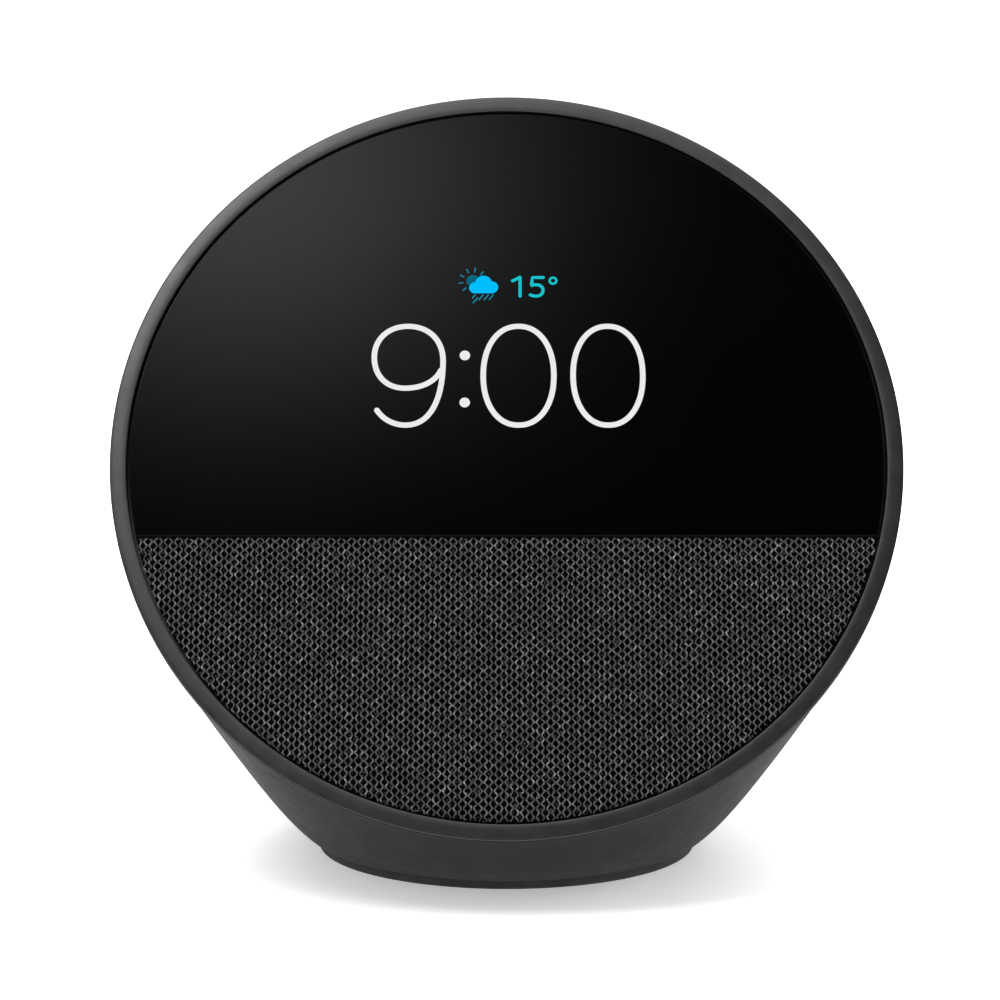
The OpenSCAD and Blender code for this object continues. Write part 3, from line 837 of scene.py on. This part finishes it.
def net_thread():
    """Dark melange yarn: fine filaments, tone that changes from loop to loop, and a few pale fibres."""
    m = Nodes("net_thread", (0.09, 0.092, 0.095), 0.7, specular=0.35)
    loops = m.noise(0.9, 2)
    fibres = m.noise(0.16, 3)
    both = m.tree.nodes.new("ShaderNodeMath")
    both.operation = "MULTIPLY"
    m.tree.links.new(loops, both.inputs[0])
    m.tree.links.new(fibres, both.inputs[1])
    ramp = m.tree.nodes.new("ShaderNodeValToRGB")
    stops = ((0.12, 0.008), (0.24, 0.025), (0.32, 0.052), (0.44, 0.22))
    for n, (position, grey) in enumerate(stops):
        stop = ramp.color_ramp.elements[n] if n < 2 else ramp.color_ramp.elements.new(position)
        stop.position = position
        stop.color = (grey, grey * 1.01, grey * 1.03, 1)
    m.link(both.outputs["Value"], ramp, "Fac")
    m.link(ramp.outputs["Color"], m.shader, "Base Color")
    m.set("Sheen Weight", 0.15)
    m.relief(fibres, 0.05, 0.7)
    return m.material


def cloth_backing():
    """Near-black liner behind the net, with faint pale fibres that show in some of its openings."""
    m = Nodes("cloth_backing", (0.001, 0.001, 0.001), 0.9, specular=0.0)
    m.tint(m.noise(0.45, 2), (0.001, 0.001, 0.001), (0.045, 0.045, 0.047), 0.58, 0.74)
    m.relief(m.cells(0.3), 0.05)
    return m.material


def dress(piece, material):
    piece.data.materials.clear()
    piece.data.materials.append(material)


def dress_edge(piece, material, straight):
    """A second material on every face that looks less straight out of the face than this."""
    piece.data.materials.append(material)
    for face in piece.data.polygons:
        face.material_index = 0 if face.normal.dot(FACE_OUT) > straight else 1


def dress_frame():
    """Gives each CAD node that still shows its material, by what it is made of."""
    black = moulded("black_plastic", (0.012, 0.012, 0.013), 0.55)
    zinc = metal("zinc_steel", (0.5, 0.51, 0.53), 0.38)
    steel = metal("screw_steel", (0.42, 0.43, 0.44), 0.32, (6, 6, 1), 0.5)
    gold = metal("gold_flash", (0.72, 0.53, 0.18), 0.3)
    board = circuit_board("circuit_board", (0.01, 0.07, 0.035), (0.03, 0.16, 0.07))
    amber = banded("flex_film", (0.36, 0.17, 0.04), 0.5, "X", 0.35)
    pulp = moulded("pressed_pulp", (0.022, 0.023, 0.026), 0.85, 0.5, 0.08, 0.2)
    soft_black = rubber("soft_black", (0.014, 0.014, 0.014))
    sheet = metal("tinned_sheet", (0.55, 0.56, 0.57), 0.3)
    white = moulded("white_plastic", (0.72, 0.73, 0.7), 0.45)
    dark_foam = foam("dark_foam", (0.02, 0.02, 0.02))
    families = (
        (black, "grille_plate front_bracket key_bracket power_jack"),
        (zinc, "base_plate speaker_top_plate speaker_yoke"),
        (steel, "bracket_screws board_screws speaker_screws base_screws key_screws power_screws"),
        (gold, "wifi_antennas microphones jack_contacts"),
        (board, "main_board power_board"),
        (amber, "key_flex display_ribbon key_ribbon"),
        (pulp, "speaker_cone speaker_dust_cap"),
        (soft_black, "microphone_seals"),
        (sheet, "display_tray shield_cans"),
        (white, "board_connectors key_switches display_backlight"),
        (dark_foam, "glass_gasket speaker_gasket"),
        (glossy("clear_film", (0.02, 0.025, 0.03), 0.1), "touch_sensor"),
        (glossy("display_cell", (0.01, 0.014, 0.02), 0.12), "display_panel"),
        (rubber("foot_rubber", (0.035, 0.035, 0.036), 0.7), "rubber_foot"),
        (moulded("speaker_plastic", (0.04, 0.042, 0.046), 0.5, 0.6), "speaker_basket"),
        (banded("copper_coil", (0.6, 0.27, 0.12), 0.3, "Z", 0.3, 1.0), "speaker_voice_coil"),
        (moulded("ferrite", (0.045, 0.045, 0.05), 0.6, 0.25, 0.05), "speaker_magnet"),
        (moulded("chip_epoxy", (0.012, 0.012, 0.013), 0.6, 0.2), "board_chips"),
        (rubber("thermal_silicone", (0.26, 0.34, 0.42), 0.6), "thermal_pad"),
        (metal("aluminium", (0.7, 0.71, 0.73), 0.35, (12, 1, 12)), "heat_spreader"),
        (metal("nickel", (0.7, 0.7, 0.72), 0.15), "jack_pin"),
        (rubber("red_sleeve", (0.35, 0.02, 0.015), 0.5), "speaker_wires"),
        (rubber("black_sleeve", (0.015, 0.015, 0.015), 0.5), "power_wires"),
    )
    for material, names in families:
        for name in names.split():
            dress(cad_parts[name], material)


# ---------------------------------------------------------------- camera, floor and lights

CAMERA_PLACE = Vector((0, -0.55542, 0.136862))
CAMERA_DOWN = math.radians(8.687)
CAMERA_LENS = 136.7
CAMERA_SHIFT = -0.00665


def make_camera():
    data = bpy.data.cameras.new("camera")
    data.lens = CAMERA_LENS
    data.sensor_width = 36
    data.shift_x = CAMERA_SHIFT
    data.clip_start = 0.01
    data.clip_end = 50
    camera = bpy.data.objects.new("camera", data)
    camera.location = CAMERA_PLACE
    camera.rotation_euler = (math.pi / 2 - CAMERA_DOWN, 0, 0)
    bpy.context.scene.collection.objects.link(camera)
    bpy.context.scene.camera = camera


FLOOR_GLOW = 0.36


def make_floor():
    reach = 12000
    corners = [(-reach, -reach, 0), (reach, -reach, 0), (reach, reach, 0), (-reach, reach, 0)]
    floor = add_mesh("floor", corners, [(0, 1, 2, 3)], body=None)
    m = Nodes("floor_paint", (0.9, 0.9, 0.9), 0.8, specular=0.1)
    m.shades(m.noise(80, 3), 0.01)
    m.set("Emission Color", (1, 1, 1, 1))
    m.set("Emission Strength", FLOOR_GLOW)
    dress(floor, m.material)


def area_light(name, place, size, power, colour=(1, 1, 1), target=(0, 0, 0.06)):
    data = bpy.data.lights.new(name, "AREA")
    data.shape = "DISK"
    data.size = size
    data.energy = power
    data.color = colour
    light = bpy.data.objects.new(name, data)
    light.location = place
    light.rotation_euler = (Vector(target) - Vector(place)).to_track_quat("-Z", "Y").to_euler()
    light.visible_camera = False
    bpy.context.scene.collection.objects.link(light)
    return light


GLOW_AWAY = 1.6
GLOW_PEAK = 1.12
GLOW_TURN = math.radians(-4.02)
GLOW_RISE = math.radians(53.5)
GLOW_WIDE = 0.0737
GLOW_TALL = 0.0598


def make_glow():
    """A soft panel whose light fades to its edges, which the glass mirrors at its upper left."""
    to_camera = CAMERA_PLACE - FACE_CENTRE * MM
    mirrored = CAMERA_PLACE - 2 * to_camera.dot(FACE_OUT) * FACE_OUT
    level_way = math.cos(GLOW_TURN)
    way = Vector(
        (math.sin(GLOW_TURN), -level_way * math.cos(GLOW_RISE), level_way * math.sin(GLOW_RISE))
    )
    centre = mirrored + GLOW_AWAY * way
    half = 300
    corners = [(-half, -half, 0), (half, -half, 0), (half, half, 0), (-half, half, 0)]
    panel = add_mesh("glow_panel", corners, [(0, 1, 2, 3)], body=None)
    panel.matrix_world = frame_at(centre, ACROSS, way.cross(ACROSS), -way)
    m = Nodes("glow_paint", (0, 0, 0), 1, specular=0)
    scaled = m.stretched((1 / (math.sqrt(2) * GLOW_WIDE), 1 / (math.sqrt(2) * GLOW_TALL), 0))
    square = m.tree.nodes.new("ShaderNodeVectorMath")
    square.operation = "DOT_PRODUCT"
    m.tree.links.new(scaled, square.inputs[0])
    m.tree.links.new(scaled, square.inputs[1])
    fade = m.tree.nodes.new("ShaderNodeMath")
    fade.operation = "POWER"
    fade.inputs[0].default_value = math.exp(-1)
    m.tree.links.new(square.outputs["Value"], fade.inputs[1])
    level = m.tree.nodes.new("ShaderNodeMath")
    level.operation = "MULTIPLY"
    level.inputs[1].default_value = GLOW_PEAK
    m.tree.links.new(fade.outputs["Value"], level.inputs[0])
    m.link(level.outputs["Value"], m.shader, "Emission Strength")
    m.set("Emission Color", (1, 1, 1, 1))
    dress(panel, m.material)
    panel.visible_camera = False
    panel.visible_diffuse = False
    panel.visible_shadow = False


WORLD_LEVEL = 1.1
WORLD_MIRRORED = 0.3
WORLD_DARK = 0.02
WORLD_DARKENS_FROM = 0.12
WORLD_DARKENS_TO = 0.5


def make_world():
    """A white room. In reflections its upper part is dark, as a studio's is above the lit walls."""
    world = bpy.data.worlds.new("studio")
    bpy.context.scene.world = world
    world.use_nodes = True
    world.cycles.sampling_method = "NONE"
    nodes, links = world.node_tree.nodes, world.node_tree.links
    place = nodes.new("ShaderNodeTexCoord")
    split = nodes.new("ShaderNodeSeparateXYZ")
    links.new(place.outputs["Generated"], split.inputs[0])
    height = nodes.new("ShaderNodeMapRange")
    height.inputs["From Min"].default_value = WORLD_DARKENS_FROM
    height.inputs["From Max"].default_value = WORLD_DARKENS_TO
    height.inputs["To Min"].default_value = WORLD_MIRRORED
    height.inputs["To Max"].default_value = WORLD_DARK
    height.interpolation_type = "SMOOTHSTEP"
    links.new(split.outputs["Z"], height.inputs["Value"])
    path = nodes.new("ShaderNodeLightPath")
    pick = nodes.new("ShaderNodeMix")
    pick.inputs["A"].default_value = WORLD_LEVEL
    links.new(path.outputs["Is Glossy Ray"], pick.inputs["Factor"])
    links.new(height.outputs["Result"], pick.inputs["B"])
    links.new(pick.outputs["Result"], nodes["Background"].inputs["Strength"])
    nodes["Background"].inputs["Color"].default_value = (1, 1, 1, 1)


def make_lights():
    area_light("overhead", (0, 0.15, 1.4), 1.3, 12)
    area_light("left_box", (-0.334, -0.477, 0.99), 0.5, 7)
    area_light("right_box", (1.2, 0.3, 0.5), 0.5, 1.5)
    area_light("back_box", (0.5, 1.2, 0.9), 0.7, 6)


# ---------------------------------------------------------------- loudspeaker's suspension

SPEAKER_HEIGHT = -31
SECTORS = 16


def make_suspension(name, node, profile, held, free):
    """A ring built in sectors; the points at the held and free radii along each sector's middle are worked
    out but not used, so nothing bends it.
    """
    where, profile = face_frame(0, SPEAKER_HEIGHT), list(reversed(profile))
    pieces, step, parts = [], 2 * math.pi / SECTORS, 6
    for n in range(SECTORS):
        points = []
        for k in range(parts + 1):
            a = step * (n + k / parts)
            points += [where @ Vector((r * math.cos(a), r * math.sin(a), z)) for r, z in profile]
        faces = grid_faces(parts + 1, len(profile))
        last = parts * len(profile)
        faces.append(tuple(reversed(range(len(profile)))))
        faces.append(tuple(range(last, last + len(profile))))
        piece = add_mesh(f"{name}_{n + 1}", points, faces, body=None, sharp=40)
        middle = step * (n + 0.5)
        ends = []
        for r in (held, free):
            ends.append(where @ Vector((r * math.cos(middle), r * math.sin(middle), profile[0][1])) * MM)
        tuple(ends[0])
        tuple(ends[1])
        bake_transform(piece)
        pieces.append(piece)
    for piece in pieces:
        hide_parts(node)
    return pieces


SURROUND_ROLL = 17.1
SURROUND_OUTER = 1.35
SURROUND_THICK = 0.35
SURROUND_SEAT = -5
SURROUND_EDGE = 18.6
SPIDER_INNER = 5.35
SPIDER_OUTER = 13.2
SPIDER_EDGE = 14.3
SPIDER_DEPTH = -12.2
SPIDER_HALF = 0.2
SPIDER_SWING = 0.35
SPIDER_WAVES = 4


def surround_profile():
    """Half a roll between the cone's rim and the basket, with a flat foot at each side."""
    roll, outer, thick, seat = SURROUND_ROLL, SURROUND_OUTER, SURROUND_THICK, SURROUND_SEAT
    over = arc(roll, seat, outer, 0, 180, 14)
    under = arc(roll, seat, outer - thick, 180, 0, 14)
    toe, foot = roll - outer - 0.1, seat - thick
    inside = [(toe, seat), (toe, foot), (roll - outer + thick, foot)]
    outside = [(roll + outer - thick, foot), (SURROUND_EDGE, foot), (SURROUND_EDGE, seat)]
    return over + inside + under + outside


def spider_profile(steps=48):
    """A thin corrugated disc between the coil's neck and the basket, with a flat edge."""
    radii, wave = [], []
    for i in range(steps + 1):
        radii.append(SPIDER_INNER + (SPIDER_OUTER - SPIDER_INNER) * i / steps)
        wave.append(SPIDER_DEPTH + SPIDER_SWING * math.sin(2 * math.pi * SPIDER_WAVES * i / steps))
    top = [(r, w + SPIDER_HALF) for r, w in zip(radii, wave)]
    bottom = [(r, w - SPIDER_HALF) for r, w in zip(radii, wave)]
    edge = [(SPIDER_EDGE, SPIDER_DEPTH - SPIDER_HALF), (SPIDER_EDGE, SPIDER_DEPTH + SPIDER_HALF)]
    return edge + list(reversed(top)) + bottom


def make_suspensions():
    """Two rings in sectors, each given a radius beyond which it would be held and one inside which it would
    move with the cone; neither radius bends them.
    """
    return (
        make_suspension("surround_part", "speaker_surround", surround_profile(), 17.7, 15.9),
        make_suspension("spider_part", "speaker_spider", spider_profile(), 12.7, 6.0),
    )


# ---------------------------------------------------------------- the whole

dress_frame()
body_paint = moulded("body_plastic", (0.0098, 0.01, 0.0104), 0.62, 0.3, 0.018, 0.14)
dress(make_shell(), body_paint)
ring_piece = make_ring()
dress(ring_piece, moulded("ring_plastic", (0.0078, 0.008, 0.0083), 0.4, 0.25, 0.01, 0.5))
# The ring's side walls, groove and skirt get a duller plastic with a darker colour, which is painted shade
# for the seams beside the glass and the body.
dress_edge(ring_piece, moulded("ring_wall_painted_shade", (0.0045, 0.0046, 0.0048), 0.62, 0.25, 0.01, 0.12), 0.45)
lens = make_glass()
dress(lens, glossy("glass_face", (0.0006, 0.0006, 0.0007), 0.03))
dress_edge(lens, moulded("ground_edge", (0.002, 0.002, 0.002), 0.8, 0.1, 0.01, 0.1), 0.999)
net_piece, backing_piece = make_cloth()
dress(net_piece, net_thread())
dress(backing_piece, cloth_backing())
dress(make_clock(), lit("lit_white", (0.84, 0.84, 0.84), 1))
cloud_piece, sun_piece, line_piece, temperature_piece = make_weather()
dress(cloud_piece, lit("lit_cyan", (0.0, 0.515, 1.0), 1))
dress(sun_piece, lit("lit_deep_teal", (0.004, 0.13, 0.2), 1))
dress(line_piece, lit("lit_teal_lines", (0.01, 0.22, 0.32), 1))
dress(temperature_piece, lit("lit_teal", (0.01, 0.54, 0.61), 1))
key_caps, key_signs = make_keys()
key_paint = moulded("key_plastic", (0.02, 0.0204, 0.0214), 0.45, 0.25, 0.012)
sign_paint = moulded("sign_plastic", (0.35, 0.35, 0.36), 0.5, 0.3, 0.008)
for cap_piece in key_caps:
    dress(cap_piece, key_paint)
for sign_piece in key_signs:
    dress(sign_piece, sign_paint)

surrounds, spiders = make_suspensions()
surround_paint = rubber("surround_rubber", (0.014, 0.014, 0.014))
spider_paint = banded("spider_cloth", (0.36, 0.2, 0.06), 0.8, "Z", 0.4)
for part in surrounds:
    dress(part, surround_paint)
for part in spiders:
    dress(part, spider_paint)

make_camera()
make_floor()
make_lights()
make_glow()
make_world()
bpy.context.scene.view_settings.view_transform = "Standard"
